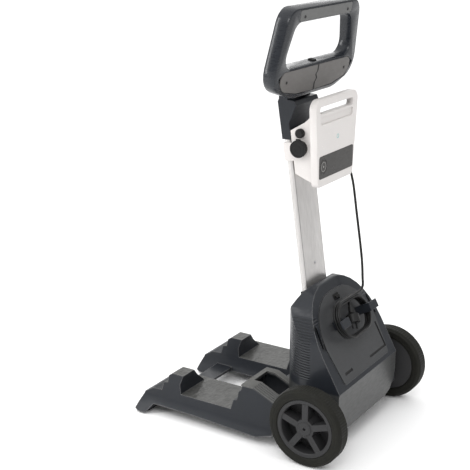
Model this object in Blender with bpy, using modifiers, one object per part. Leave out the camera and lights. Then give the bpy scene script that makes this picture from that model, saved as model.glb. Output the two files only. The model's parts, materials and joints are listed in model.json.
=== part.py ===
"""Trolley (caddy) for a pool-cleaning robot, with its power supply and cord.

Metres, +Z up, +Y towards the lifting forks, +X to the right of the person behind the handle.
Everything hangs on the empty "caddy", which stands on the ground under the middle of the
axle, so Y and Z below are measured from that point.
"""

import math

import bmesh
import bpy
from mathutils import Matrix, Vector

# ---------------------------------------------------------------- driving dimensions
GAP = 0.0003                 # between pieces that rest on each other
RUN = 0.0004                 # radial clearance of turning fits
WALL = 0.0035                # moulded wall of the deck and hood
ARC_STEP = math.radians(30)  # one facet of a rounded corner

WHEEL_RADIUS = 0.100
TYRE_WIDTH = 0.045
TYRE_DEPTH = 0.0255
TRACK_INNER = 0.211          # inner face of each tyre
AXLE_RADIUS = 0.006
BUSH_WALL = 0.0028
HUB_RECESS = 0.009           # depth of the clip's recess in the hub's outer end
SPOKES = 5

FORK_INNER = 0.080
FORK_OUTER = 0.208
FLARE_OUT = 0.027            # how far the skirt flares outwards at the ground
FLARE_IN = 0.018
CREASE_Z = 0.049             # where the flare starts
DECK_REAR = -0.030
DECK_Z = 0.119               # deck top under the hood
PAD_Z = 0.0735
LUG_REAR_Z = 0.146
LUG_FRONT_Z = 0.128
LUG_TOP_WIDTH = 0.050
LUG_SLOPE_WIDTH = 0.062
BRIDGE = (0.4155, 0.4650, 0.0330, 0.0400)    # y from, y to, z from, z to
WHEEL_ROOM_Y = WHEEL_RADIUS + 0.012   # behind this the deck stays inside the wheels
BEARING_Z = WHEEL_RADIUS - 0.022      # underside of the axle's bearing
TOE_REACH = 0.530
FOOT_THICK = 0.004
CAP_THICK = 0.004
CAP_REAR_Y = 0.106
LUG_SLOPE_Y = (0.110, 0.171)  # foot and top of the rear lug's slope

MAST_WIDTH = 0.109
MAST_DEPTH = 0.0165
MAST_WALL = 0.002
MAST_LEAN = math.radians(8.17)
MAST_FOOT = Vector((0.0, 0.0769, DECK_Z - 0.014))
MAST_LENGTH = 0.7476
MAST_UP = Vector((0.0, math.sin(MAST_LEAN), math.cos(MAST_LEAN)))
MAST_TOP = MAST_FOOT + MAST_UP * MAST_LENGTH
SOCKET_HEIGHT = 0.085
MAST_SCREW_UP = 0.329        # along the mast, as the clips are
MAST_CLIP_UP = (0.2560, 0.2670)

HOOD_HALF = 0.165
HOOD_FRONT = 0.130
HOOD_TOP = 0.392
HOOD_FRONT_ROUND = 0.090
HOOD_BROW_Y = 0.098          # in front of this the top falls away
HOOD_BROW_DROP = 0.080
HOOD_SHOULDER = 0.140
BOOT_Y = -0.047
BOOT_Z = 0.056
BOOT_TOP = 0.165
BOOT_ROUND = 0.062           # lower corners of the boot behind the deck
COVER_THICK = 0.004
COVER_SUNK = 0.0022
COVER_MARGIN = 0.016

HANDLE_LEAN = math.radians(9.8)
PIVOT = MAST_TOP + Vector((0.0, -0.0011, 0.0240))
PIN_RADIUS = 0.005
KNUCKLE_RADIUS = 0.012
KNUCKLE_HALF = 0.0295
NECK_WALL = 0.0035
LOOP_RISE = 0.0777           # loop's own origin above the pivot, along the loop
LOOP_BACK = 0.0505           # loop's rear face behind the pivot
LOOP_DEPTH = 0.036
LOOP_ROUND = 0.006
PANEL_THICK = 0.003
PANEL_SUNK = 0.0026

# the power supply's Y and Z are measured from the mast's middle at its bracket
BRACKET_DROP = 0.1209        # bracket's middle below the mast's top, along the mast
PSU_Y = -0.104               # front face of the power supply
PSU_PLATE = 0.020
PSU_BOTTOM, PSU_TOP = -0.0723, 0.1427
PSU_HALF_BOTTOM, PSU_HALF_TOP = 0.092, 0.112
PSU_BODY_HALF = 0.070
PSU_WALL = 0.003
PSU_FACE = 0.0065
PSU_SLOT_X = (-0.088, 0.084)   # the carrying slot
PSU_SLOT_Z = (0.1067, 0.1242)
PSU_PANEL_Z = (-0.0513, 0.0047)
BUTTON_AT = (-0.068, -0.0223)
BUTTON_RADIUS = 0.017
SOCKET_AT = (-0.042, 0.0167)
SOCKET_RADIUS = 0.019
BRACKET_HEIGHT = 0.045
BRACKET_WALL = 0.0045
KNOB_RADIUS = 0.011

CORD_RADIUS = 0.00325
HOOK_X = 0.062
HOOK_HALF = 0.006            # half thickness of a hook's post
HOOK_WIDTH = 0.022
COIL_Z = 0.296               # height of the coil's middle
COIL_BAND = 0.0135
COIL_HALF_LENGTH = HOOK_X + HOOK_HALF + 0.0025 + COIL_BAND
COIL_HALF_HEIGHT = 0.052
COIL_DEPTH = 0.026
COIL_OFF = 0.010             # coil's inner face from the rear face of the hood
GLAND_AT = (-0.061, 0.0167)  # cord's outlet
PLUG_AT = Vector((-0.002, 0.0037, 0.0245))   # from the coil's middle, on the hood's rear face
PLUG_TURN = math.radians(250)

# where the hood's slanted rear face stands
REAR_AT = Vector((0.0, 0.0425, 0.33))
REAR_SLOPE = 0.55

PLASTIC = ("charcoal_plastic", (0.055, 0.060, 0.070), 0.42, 0.0)
PLASTIC_GREY = ("grey_plastic", (0.17, 0.165, 0.16), 0.50, 0.0)
GRIP = ("grip_plastic", (0.20, 0.20, 0.195), 0.60, 0.0)
RUBBER = ("rubber", (0.030, 0.030, 0.028), 0.80, 0.0)
ALUMINIUM = ("aluminium", (0.62, 0.61, 0.60), 0.38, 0.9)
STEEL = ("steel", (0.45, 0.45, 0.46), 0.30, 1.0)
WHITE = ("white_plastic", (0.78, 0.76, 0.74), 0.38, 0.0)
PANEL = ("panel_dark", (0.090, 0.085, 0.080), 0.30, 0.0)
CORD = ("cord_rubber", (0.012, 0.012, 0.012), 0.55, 0.0)
BOARD = ("circuit_board", (0.03, 0.16, 0.07), 0.50, 0.0)
COPPER = ("transformer", (0.30, 0.17, 0.08), 0.45, 0.3)

PLANES = {
    "YZ": Matrix(((0, 0, 1), (1, 0, 0), (0, 1, 0))).to_4x4(),
    "XZ": Matrix(((1, 0, 0), (0, 0, -1), (0, 1, 0))).to_4x4(),
    "XY": Matrix.Identity(4),
}
AXIS_FROM_Z = {
    "X": Matrix(((0, 0, 1), (1, 0, 0), (0, 1, 0))).to_4x4(),
    "Y": Matrix(((1, 0, 0), (0, 0, 1), (0, -1, 0))).to_4x4(),
    "Z": Matrix.Identity(4),
}


# ---------------------------------------------------------------- scene and materials
def clear_scene():
    for obj in list(bpy.data.objects):
        bpy.data.objects.remove(obj, do_unlink=True)


def collection(name):
    made = bpy.data.collections.new(name)
    bpy.context.scene.collection.children.link(made)
    return made


def surface(spec):
    name, colour, roughness, metallic = spec
    found = bpy.data.materials.get(name)
    if found:
        return found
    made = bpy.data.materials.new(name)
    made.use_nodes = True
    shader = made.node_tree.nodes["Principled BSDF"]
    shader.inputs["Base Color"].default_value = (*colour, 1.0)
    shader.inputs["Roughness"].default_value = roughness
    shader.inputs["Metallic"].default_value = metallic
    made.diffuse_color = (*colour, 1.0)
    return made


# ---------------------------------------------------------------- outlines
def rounded(corners, step=ARC_STEP):
    """Closed outline through (u, v) or (u, v, radius) corners, each radius an arc."""
    points = []
    for index, corner in enumerate(corners):
        here = Vector(corner[:2])
        radius = corner[2] if len(corner) > 2 else 0.0
        if radius == 0.0:
            points.append(here)
            continue
        before = (Vector(corners[index - 1][:2]) - here).normalized()
        after = (Vector(corners[(index + 1) % len(corners)][:2]) - here).normalized()
        angle = before.angle(after)
        centre = here + (before + after).normalized() * radius / math.sin(angle / 2)
        start = here + before * radius / math.tan(angle / 2) - centre
        side = 1.0 if before.cross(after) < 0 else -1.0
        turn = math.pi - angle
        count = max(1, math.ceil(turn / step))
        for k in range(count + 1):
            points.append(centre + Matrix.Rotation(side * turn * k / count, 2) @ start)
    return points


def offset_chain(points, distance):
    """An open chain of points moved to its right by a distance."""
    points = [Vector(p[:2]) for p in points]
    lines = []
    for a, b in zip(points, points[1:]):
        along = (b - a).normalized()
        right = Vector((along.y, -along.x)) * distance
        lines.append((a + right, along))
    moved = [lines[0][0]]
    for (p, u), (q, v) in zip(lines, lines[1:]):
        cross = u.x * v.y - u.y * v.x
        if abs(cross) < 1e-6:
            moved.append(q)
        else:
            d = q - p
            moved.append(p + u * (d.x * v.y - d.y * v.x) / cross)
    last, along = lines[-1]
    moved.append(last + along * (points[-1] - points[-2]).length)
    return moved


def circle(u, v, radius, count=24):
    steps = (2 * math.pi * k / count for k in range(count))
    return [Vector((u + radius * math.cos(t), v + radius * math.sin(t))) for t in steps]


# ---------------------------------------------------------------- solids
class Shop:
    """Makes solids and keeps the pieces, the cutters and the empties apart."""

    def __init__(self):
        self.pieces = collection("pool_robot_caddy")
        self.cutters = collection("cutters")
        self.root = bpy.data.objects.new("caddy", None)
        self.pieces.objects.link(self.root)
        self.stand = Matrix.Identity(4)      # where new solids stand in the caddy

    def solid(self, name, mesh, matrix=None):
        """A closed mesh as an object, its vertices moved by the matrix."""
        work = bmesh.new()
        work.from_mesh(mesh)
        bmesh.ops.remove_doubles(work, verts=work.verts, dist=1e-5)
        if matrix is not None:
            work.transform(matrix)
        work.transform(self.stand)
        bmesh.ops.recalc_face_normals(work, faces=work.faces)
        if work.calc_volume(signed=True) < 0:
            bmesh.ops.reverse_faces(work, faces=work.faces)
        work.to_mesh(mesh)
        work.free()
        obj = bpy.data.objects.new(name, mesh)
        self.cutters.objects.link(obj)
        obj.parent = self.root
        obj.hide_render = True
        obj.display_type = "WIRE"
        return obj

    def baked(self, obj):
        """The evaluated mesh of a helper object, which is then removed."""
        bpy.context.view_layer.update()
        graph = bpy.context.evaluated_depsgraph_get()
        mesh = bpy.data.meshes.new_from_object(obj.evaluated_get(graph))
        data = obj.data
        bpy.data.objects.remove(obj)
        (bpy.data.curves if isinstance(data, bpy.types.Curve) else bpy.data.meshes).remove(data)
        return mesh

    def extruded(self, name, loops, plane, low, high, matrix=None, round_edge=0.0):
        """Flat loops (the first is the outline) extruded between two levels."""
        curve = bpy.data.curves.new(name, "CURVE")
        curve.dimensions = "2D"
        curve.fill_mode = "BOTH"
        curve.extrude = (high - low) / 2 - round_edge
        curve.bevel_depth = round_edge
        curve.bevel_resolution = 1
        curve.offset = -round_edge
        for loop in loops:
            spline = curve.splines.new("POLY")
            spline.points.add(len(loop) - 1)
            for point, (u, v) in zip(spline.points, loop):
                point.co = (u, v, 0.0, 1.0)
            spline.use_cyclic_u = True
        helper = bpy.data.objects.new(name, curve)
        self.cutters.objects.link(helper)
        middle = (low + high) / 2 * (-1 if plane == "XZ" else 1)
        place = PLANES[plane] @ Matrix.Translation((0, 0, middle))
        if matrix is not None:
            place = matrix @ place
        return self.solid(name, self.baked(helper), place)

    def box(self, name, low, high, matrix=None):
        size = [b - a for a, b in zip(low, high)]
        middle = [(a + b) / 2 for a, b in zip(low, high)]
        mesh = bpy.data.meshes.new(name)
        work = bmesh.new()
        bmesh.ops.create_cube(work, size=1.0)
        bmesh.ops.scale(work, vec=size, verts=work.verts)
        bmesh.ops.translate(work, vec=middle, verts=work.verts)
        work.to_mesh(mesh)
        work.free()
        return self.solid(name, mesh, matrix)

    def turned(self, name, profile, axis, centre, count=32, matrix=None):
        """A (radius, height) profile, closed or from axis to axis, turned about an axis."""
        mesh = bpy.data.meshes.new(name)
        ends_on_axis = profile[0][0] == 0.0
        edges = [(k, k + 1) for k in range(len(profile) - 1)]
        if not ends_on_axis:
            edges.append((len(profile) - 1, 0))
        mesh.from_pydata([(r, 0.0, h) for r, h in profile], edges, [])
        helper = bpy.data.objects.new(name, mesh)
        self.cutters.objects.link(helper)
        screw = helper.modifiers.new("turn", "SCREW")
        screw.axis = "Z"
        screw.steps = screw.render_steps = count
        screw.use_merge_vertices = True
        screw.merge_threshold = 0.00001
        place = Matrix.Translation(centre) @ AXIS_FROM_Z[axis]
        if matrix is not None:
            place = matrix @ place
        return self.solid(name, self.baked(helper), place)

    def rod(self, name, radius, low, high, axis, centre, count=24, matrix=None):
        profile = [(0.0, high), (radius, high), (radius, low), (0.0, low)]
        return self.turned(name, profile, axis, centre, count, matrix)

    def tube(self, name, route, radius):
        curve = bpy.data.curves.new(name, "CURVE")
        curve.dimensions = "3D"
        curve.bevel_depth = radius
        curve.bevel_resolution = 2
        curve.use_fill_caps = True
        spline = curve.splines.new("POLY")
        spline.points.add(len(route) - 1)
        for point, place in zip(spline.points, route):
            point.co = (*place, 1.0)
        helper = bpy.data.objects.new(name, curve)
        self.cutters.objects.link(helper)
        return self.solid(name, self.baked(helper))

    def boolean(self, obj, other, operation):
        step = obj.modifiers.new(other.name, "BOOLEAN")
        step.operation = operation
        step.solver = "EXACT"
        step.object = other

    def cut(self, obj, *others):
        for other in others:
            self.boolean(obj, other, "DIFFERENCE")

    def join(self, obj, *others):
        for other in others:
            self.boolean(obj, other, "UNION")

    def common(self, obj, other):
        self.boolean(obj, other, "INTERSECT")

    def piece(self, obj, spec, at=None, group=None):
        """Keeps a solid as one named piece, its origin at a point of the caddy."""
        self.cutters.objects.unlink(obj)
        self.pieces.objects.link(obj)
        obj.hide_render = False
        obj.display_type = "TEXTURED"
        obj.data.materials.clear()
        obj.data.materials.append(surface(spec))
        at = self.stand @ Vector(at or (0, 0, 0))
        obj.data.transform(Matrix.Translation(-at))
        obj.parent = group or self.root
        obj.location = at - (group.location if group else Vector((0, 0, 0)))
        obj.data.shade_smooth()
        obj.data.set_sharp_from_angle(angle=math.radians(35))
        return obj

    def pivot(self, name, at):
        empty = bpy.data.objects.new(name, None)
        self.pieces.objects.link(empty)
        empty.parent = self.root
        empty.location = at
        return empty


# ---------------------------------------------------------------- deck
def fork_top():
    """Top of a fork from the rear to the toe, as (y, z) with y growing."""
    return [
        (DECK_REAR, DECK_Z), (LUG_SLOPE_Y[0], DECK_Z), (LUG_SLOPE_Y[1], LUG_REAR_Z),
        (0.204, LUG_REAR_Z), (0.208, 0.133), (0.215, 0.128), (0.220, 0.104), (0.231, 0.100), (0.239, PAD_Z),
        (0.394, PAD_Z), (0.396, 0.100), (0.385, LUG_FRONT_Z), (0.420, LUG_FRONT_Z),
        (0.431, 0.120), (0.435, 0.100), (0.448, 0.096), (0.455, PAD_Z),
        (0.484, 0.071), (0.510, 0.056), (TOE_REACH - 0.006, 0.026),
    ]


def fork_section(near, far, inset, drop):
    """Cross-section (x, z) of a fork between its walls, flared below the crease."""
    def wall(x, flare):
        slope = flare / CREASE_Z
        return [(x, CREASE_Z), (x + slope * (CREASE_Z + drop), -drop)]
    direction = 1 if far > 0 else -1
    low, high = near + inset, far - inset
    left_flare, right_flare = (FLARE_IN, FLARE_OUT) if direction > 0 else (FLARE_OUT, FLARE_IN)
    left = wall(low, -left_flare)
    right = wall(high, right_flare)
    return [(low, 0.20), *left, *reversed(right), (high, 0.20)]


def fork(shop, name, near, far):
    """One fork: near and far are its walls, from -X to +X."""
    top = fork_top()
    below = [(TOE_REACH, 0.010), (TOE_REACH - 0.010, FOOT_THICK + GAP),
             (0.497, FOOT_THICK + GAP), (0.476, 0.030), (0.350, 0.029), (0.155, 0.022),
             (0.112, 0.034), (0.060, 0.060), (DECK_REAR, 0.060)]
    span = (near - 0.04, far + 0.04)
    body = shop.extruded(name, [top + below], "YZ", *span)
    shop.common(body, shop.extruded(name + "_section", [fork_section(near, far, 0.0, 0.02)],
                                    "XZ", -0.10, 0.60))
    lug_edge = near + LUG_TOP_WIDTH
    foot_z = PAD_Z + GAP
    wedge = [(lug_edge, LUG_FRONT_Z), (lug_edge + LUG_SLOPE_WIDTH, foot_z), (far + 0.05, foot_z),
             (far + 0.05, 0.17), (lug_edge, 0.17)]
    shop.cut(body, shop.extruded(name + "_lug_slope", [wedge], "XZ", 0.380, 0.4555))
    inside = [p for p in offset_chain(top, WALL) if 0.022 < p.x < 0.474]
    hollow = [(0.022, -0.05), (0.022, DECK_Z - WALL)] + inside + [(0.474, 0.066), (0.474, -0.05)]
    cavity = shop.extruded(name + "_cavity", [hollow], "YZ", *span)
    shop.common(cavity, shop.extruded(name + "_cavity_section",
                                      [fork_section(near, far, WALL, 0.06)], "XZ", -0.10, 0.60))
    slope = [(x, z - WALL) for x, z in wedge[:3]] + wedge[3:]
    shop.cut(cavity, shop.extruded(name + "_cavity_slope", [slope], "XZ", 0.378, 0.4575))
    shop.cut(body, cavity)
    return body


def mast_frame(height=0.0):
    """The mast's own frame: Z along the mast, origin on its centre line."""
    return Matrix.Translation(MAST_FOOT) @ Matrix.Rotation(-MAST_LEAN, 4, "X") \
        @ Matrix.Translation((0, 0, height))


def mast_outline(extra):
    half, deep = MAST_WIDTH / 2 + extra, MAST_DEPTH / 2 + extra
    round_off = 0.004
    return rounded([(-half, -deep, round_off), (half, -deep, round_off),
                    (half, deep, round_off), (-half, deep, round_off)], math.radians(45))


def lug_opening(side):
    """x limits of the opening in a rear lug, smaller first."""
    return sorted((side * 0.103, side * 0.170))


def deck(shop):
    base = fork(shop, "deck_base", -FORK_OUTER, -FORK_INNER)
    right = fork(shop, "fork_right", FORK_INNER, FORK_OUTER)
    reach = FORK_INNER + WALL / 2
    y0, y1, z0, z1 = BRIDGE
    bridge = shop.box("bridge", (-reach - 0.004, y0, z0), (reach + 0.004, y1, z1))
    rear, top, under = DECK_REAR + 0.001, DECK_Z - 0.0005, DECK_Z - 0.014
    pan = shop.extruded("pan", [[
        (rear, under), (-0.018, under), (-0.018, BEARING_Z), (0.018, BEARING_Z), (0.018, under),
        (0.160, under), (0.160, 0.070), (0.168, 0.070), (0.168, top), (rear, top)]],
        "YZ", -reach, reach)
    frame = mast_frame()
    tower = shop.extruded("mast_socket", [mast_outline(0.005)], "XY", -0.009, SOCKET_HEIGHT, frame)
    shop.join(base, right, bridge, pan, tower)
    shop.cut(base, shop.extruded("mast_pocket", [mast_outline(GAP)], "XY", -GAP, 0.2, frame))
    shop.cut(base, shop.rod("axle_bore", AXLE_RADIUS + RUN, -0.3, 0.3, "X", (0, 0, WHEEL_RADIUS)))
    inner = TRACK_INNER - 0.0055
    for side in (-1, 1):
        x0, x1 = sorted((side * inner, side * 0.27))
        shop.cut(base, shop.box(f"wheel_room_{side}", (x0, -0.1, -0.02), (x1, WHEEL_ROOM_Y, 0.2)))
        x0, x1 = lug_opening(side)
        shop.cut(base, shop.box(f"lug_hole_{side}", (x0, 0.116, 0.05), (x1, 0.194, 0.2)))
    shop.piece(base, PLASTIC)

    for label, side in (("left", -1), ("right", 1)):
        seat = [(CAP_REAR_Y, DECK_Z), (LUG_SLOPE_Y[0], DECK_Z), (LUG_SLOPE_Y[1], LUG_REAR_Z),
                (0.206, LUG_REAR_Z)]
        under = offset_chain(seat, -GAP)
        over = offset_chain(seat, -GAP - CAP_THICK)
        x0, x1 = sorted((side * (FORK_INNER + 0.003), side * (FORK_OUTER + 0.003)))
        cap = shop.extruded(f"lug_cap_{label}", [under + over[::-1]], "YZ", x0, x1)
        x0, x1 = lug_opening(side)
        shop.cut(cap, shop.box(f"cap_hole_{label}", (x0 + 0.001, 0.1185, 0.05),
                               (x1 - 0.001, 0.1925, 0.2)))
        groove = offset_chain(seat[1:3], -GAP - CAP_THICK + 0.0014)
        lifted = offset_chain(seat[1:3], -GAP - CAP_THICK - 0.004)
        for k in range(4):
            x = side * (0.178 + 0.0085 * k)
            shop.cut(cap, shop.extruded(f"cap_groove_{label}_{k}", [groove + lifted[::-1]],
                                        "YZ", x - 0.0016, x + 0.0016))
        shop.piece(cap, PLASTIC_GREY)

        low = side * (FORK_INNER + FORK_OUTER) / 2 - 0.060 + side * 0.006
        foot = shop.extruded(f"foot_pad_{label}", [rounded([
            (low, 0.499, 0.004), (low + 0.120, 0.499, 0.004),
            (low + 0.120, 0.517, 0.004), (low, 0.517, 0.004)])], "XY", 0.0, FOOT_THICK)
        shop.piece(foot, RUBBER)


# ---------------------------------------------------------------- hood
def rear_frame():
    """Frame of the hood's slanted rear face: Y up the slope, Z out of the face."""
    angle = math.pi / 2 - math.atan(REAR_SLOPE)
    return Matrix.Translation(REAR_AT) @ Matrix.Rotation(angle, 4, "X")


def up_slope(z):
    """Distance up the slanted face at height z."""
    return (z - REAR_AT.z) * math.sqrt(1 + REAR_SLOPE ** 2)


def rear_y(z):
    return REAR_AT.y + REAR_SLOPE * (z - REAR_AT.z)


def hood_side(inset):
    """Side outline (y, z) of the hood."""
    top, front = HOOD_TOP - inset, HOOD_FRONT - inset
    back = inset * math.sqrt(1 + REAR_SLOPE ** 2)
    low = DECK_Z + GAP if inset == 0 else DECK_Z - 0.01
    lug_rise = (LUG_REAR_Z - DECK_Z) / (LUG_SLOPE_Y[1] - LUG_SLOPE_Y[0])
    over_cap = DECK_Z + CAP_THICK + 0.0025
    front_low = [(CAP_REAR_Y - 0.002, low), (CAP_REAR_Y - 0.002, over_cap),
                 (front, over_cap + lug_rise * (front - LUG_SLOPE_Y[0]))]
    outline = (front_low if inset == 0 else [(front, low)]) + [
        (front, top - HOOD_BROW_DROP, 0.030), (HOOD_BROW_Y - inset, top, 0.022 - 3 * inset),
        (rear_y(top) + back, top, 0.010),
        (rear_y(BOOT_TOP) + back, BOOT_TOP), (BOOT_Y + inset, BOOT_TOP - 0.012),
        (BOOT_Y + inset, BOOT_Z if inset == 0 else 0.0),
        (DECK_REAR - 0.0035 - GAP, BOOT_Z if inset == 0 else 0.0),
        (DECK_REAR - 0.0035 - GAP, low)]
    return rounded(outline)


def hood_arch(inset):
    half, top = HOOD_HALF - inset, HOOD_TOP - inset
    shoulder = HOOD_SHOULDER - inset
    return rounded([(-half, 0.0), (half, 0.0), (half, top, shoulder), (-half, top, shoulder)],
                   math.radians(12))


def hood_plan(inset):
    half, front = HOOD_HALF - inset, HOOD_FRONT - inset
    corner = HOOD_FRONT_ROUND - inset
    return rounded([(-half, -0.12), (half, -0.12), (half, front, corner),
                    (-half, front, corner)], math.radians(15))


def hood_block(shop, name, inset):
    block = shop.extruded(name, [hood_side(inset)], "YZ", -0.2, 0.2)
    shop.common(block, shop.extruded(name + "_arch", [hood_arch(inset)], "XZ", -0.2, 0.2))
    shop.common(block, shop.extruded(name + "_plan", [hood_plan(inset)], "XY", -0.1, 0.5))
    return block


def cover_outline(extra):
    half = HOOD_HALF - COVER_MARGIN - 0.012 + extra
    top = up_slope(HOOD_TOP) - COVER_MARGIN - 0.012 + extra
    low = up_slope(BOOT_TOP) + 0.012 - extra
    return rounded([(-half + 0.012, low, 0.008), (half - 0.012, low, 0.008),
                    (half, up_slope(0.26)), (half, top, 0.115 + extra),
                    (-half, top, 0.115 + extra), (-half, up_slope(0.26))], math.radians(15))


def hook_outline():
    """Hook in the (x, height over the face) plane, opening towards the middle."""
    near, far = HOOK_X - HOOK_HALF, HOOK_X + HOOK_HALF
    low = COIL_OFF + COIL_DEPTH + 0.003
    return [(near, 0.0), (far, 0.0), (far, low), (far + 0.030, low + 0.002),
            (far + 0.030, low + 0.007), (near, low + 0.006)]


def hood(shop):
    shell = hood_block(shop, "hood_shell", 0.0)
    shop.cut(shell, hood_block(shop, "hood_inside", WALL + 0.0005))
    for side in (-1, 1):
        edge, low = side * (HOOD_HALF + 0.0005), BOOT_Z - 0.0005
        corner = [(side * 0.09, low - 0.01), (side * 0.20, low - 0.01), (side * 0.20, DECK_Z + 0.01),
                  (edge, DECK_Z + 0.01), (edge, low, BOOT_ROUND), (side * 0.09, low)]
        shop.cut(shell, shop.extruded(f"boot_corner_{side}", [rounded(corner)], "XZ",
                                      BOOT_Y - 0.01, DECK_REAR - 0.003))
    frame = rear_frame()
    rim = cover_outline(GAP)
    shop.cut(shell, shop.extruded("cover_seat", [rim], "XY", -COVER_SUNK - GAP, 0.03, frame))
    shop.cut(shell, shop.extruded("mast_hole", [mast_outline(0.0006)], "XY", 0.05, 0.45,
                                  mast_frame()))
    for side in (-1, 1):
        low, high = up_slope(0.268), up_slope(0.318)
        slot = rounded([(side * 0.1440, low, 0.002), (side * 0.1505, low, 0.002),
                        (side * 0.1430, high, 0.002), (side * 0.1365, high, 0.002)],
                       math.radians(90))
        shop.cut(shell, shop.extruded(f"vent_{side}", [slot], "XY", -0.03, 0.03, frame))
    shop.piece(shell, PLASTIC)

    cover = shop.extruded("rear_cover", [cover_outline(0.0)], "XY",
                          -COVER_SUNK, -COVER_SUNK + COVER_THICK, frame)
    face = -COVER_SUNK + COVER_THICK
    low, high = up_slope(0.190), up_slope(0.252)
    grooves = [
        (0.119, low, 0.126, high), (0.031, low, 0.119, low + 0.006),
        (-0.106, low + 0.002, -0.067, low + 0.009)]
    for k, (x0, s0, x1, s1) in enumerate(grooves):
        shop.cut(cover, shop.box(f"cover_groove_{k}", (x0, s0, face - 0.0015),
                                 (x1, s1, face + 0.01), frame))
    latch_s = up_slope(0.350)
    shop.cut(cover, shop.box("latch_slot", (-0.0145, latch_s - 0.009, -0.01),
                             (0.0145, latch_s + 0.009, 0.02), frame))
    shop.piece(cover, PLASTIC)

    latch = shop.box("cover_latch", (-0.014, latch_s - 0.005, -COVER_SUNK),
                     (0.014, latch_s + 0.0085, face - 0.0005), frame)
    tab = shop.box("latch_tab", (-0.009, latch_s - 0.003, -COVER_SUNK),
                   (0.009, latch_s + 0.003, face + 0.006), frame)
    shop.join(latch, tab)
    shop.piece(latch, RUBBER, frame @ Vector((0, latch_s, face)))

    coil_s = up_slope(COIL_Z)
    for label, side in (("left", -1), ("right", 1)):
        outline = [(side * x, h + face + GAP) for x, h in hook_outline()]
        if side < 0:
            outline.reverse()
        turn = frame @ Matrix.Translation((0, coil_s, 0)) @ Matrix.Rotation(math.pi / 2, 4, "X")
        hook = shop.extruded(f"cord_hook_{label}", [outline], "XY",
                             -HOOK_WIDTH / 2, HOOK_WIDTH / 2, turn)
        shop.piece(hook, PLASTIC)

    for label, side in (("left", -1), ("right", 1)):
        x0, x1 = sorted((side * (MAST_WIDTH / 2 + 0.001), side * (MAST_WIDTH / 2 + 0.0052)))
        clip = shop.box(f"mast_clip_{label}", (x0, 0.0005, MAST_CLIP_UP[0]),
                        (x1, 0.0080, MAST_CLIP_UP[1]), mast_frame())
        shop.piece(clip, RUBBER)


# ---------------------------------------------------------------- mast and neck
def mast(shop):
    frame = mast_frame()
    loops = [mast_outline(0.0), mast_outline(-MAST_WALL)]
    tube = shop.extruded("mast", loops, "XY", 0.0, MAST_LENGTH, frame)
    shop.piece(tube, ALUMINIUM)
    screw = shop.turned("mast_screw",
                        [(0.0, 0.0), (0.0038, 0.0), (0.0030, -0.0016), (0.0, -0.0016)],
                        "Y", (0.0, -MAST_DEPTH / 2 - GAP, MAST_SCREW_UP), 12, frame)
    shop.piece(screw, STEEL)


def neck(shop):
    half = MAST_WIDTH / 2 + NECK_WALL
    body = shop.extruded("handle_neck", [rounded([
        (-0.0247, -0.0895), (-0.0004, -0.0895), (0.0141, 0.0030, 0.004), (0.0109, 0.0095),
        (-0.0321, 0.0075, 0.003), (-0.0371, -0.0030, 0.004), (-0.0186, -0.0480)])],
        "YZ", -half, half, Matrix.Translation(MAST_TOP))
    y, z = PIVOT.y, PIVOT.z
    r = KNUCKLE_RADIUS
    for side in (-1, 1):
        x0, x1 = sorted((side * (KNUCKLE_HALF + 0.001), side * half))
        ear = [(y - r, z - 0.022), (y + r, z - 0.022), (y + r, z + r, r * 0.98),
               (y - r, z + r, r * 0.98)]
        shop.join(body, shop.extruded(f"neck_ear_{side}", [rounded(ear)], "YZ", x0, x1))
    shop.cut(body, shop.box("knuckle_room", (-KNUCKLE_HALF - 0.001, y - 0.026, z - r - 0.0015),
                            (KNUCKLE_HALF + 0.001, y + 0.03, z + 0.03)))
    shop.cut(body, shop.extruded("neck_pocket", [mast_outline(GAP)], "XY", -0.2, GAP,
                                 mast_frame(MAST_LENGTH)))
    shop.cut(body, shop.rod("pin_bore", PIN_RADIUS + GAP, -0.2, 0.2, "X", PIVOT))
    shop.piece(body, PLASTIC)
    pin = shop.rod("handle_pin", PIN_RADIUS, -half, half, "X", PIVOT, 20)
    shop.piece(pin, STEEL, PIVOT)


# ---------------------------------------------------------------- handle
def handle_frame():
    """Loop's frame: origin on its rear face, Y up the loop, Z towards the person."""
    return Matrix.Translation(PIVOT) @ Matrix.Rotation(math.pi / 2 + HANDLE_LEAN, 4, "X") \
        @ Matrix.Translation((0, LOOP_RISE, LOOP_BACK))


LOOP_OUTER = [(-0.210, -0.040, 0.055), (-0.105, -0.073, 0.080), (0.105, -0.073, 0.080),
              (0.210, -0.040, 0.055), (0.178, 0.148, 0.042), (-0.178, 0.148, 0.042)]
LOOP_INNER = [(-0.172, 0.006, 0.028), (0.172, 0.006, 0.028), (0.137, 0.112, 0.030),
              (-0.137, 0.112, 0.030)]
SEAM = [(0.004, 0.0), (0.004, -0.016), (-0.003, -0.024), (0.004, -0.034), (-0.004, -0.044),
        (-0.004, -0.0625)]
SCREWS = [("grip_left", -0.108, 0.126), ("grip_right", 0.108, 0.126),
          ("panel_left", -0.146, -0.026), ("panel_right", 0.146, -0.026)]


def panel_outline(side, extra):
    """Half of the lower rear panel; the zigzag seam is its inner edge."""
    seam = [(x - side * (extra - GAP / 2), s) for x, s in SEAM]
    top = -0.0005 + extra
    far = [(side * (0.160 + extra), top, 0.004), (side * (0.187 + extra), -0.014, 0.020),
           (side * (0.160 + extra), -0.047 - extra, 0.030),
           (side * 0.090, -0.0605 - extra, 0.040)]
    seam[0] = (seam[0][0], top)
    seam[-1] = (seam[-1][0], -0.0625 - extra)
    outline = rounded(seam[::-1] + far) if side > 0 else rounded((seam[::-1] + far)[::-1])
    return outline


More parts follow.
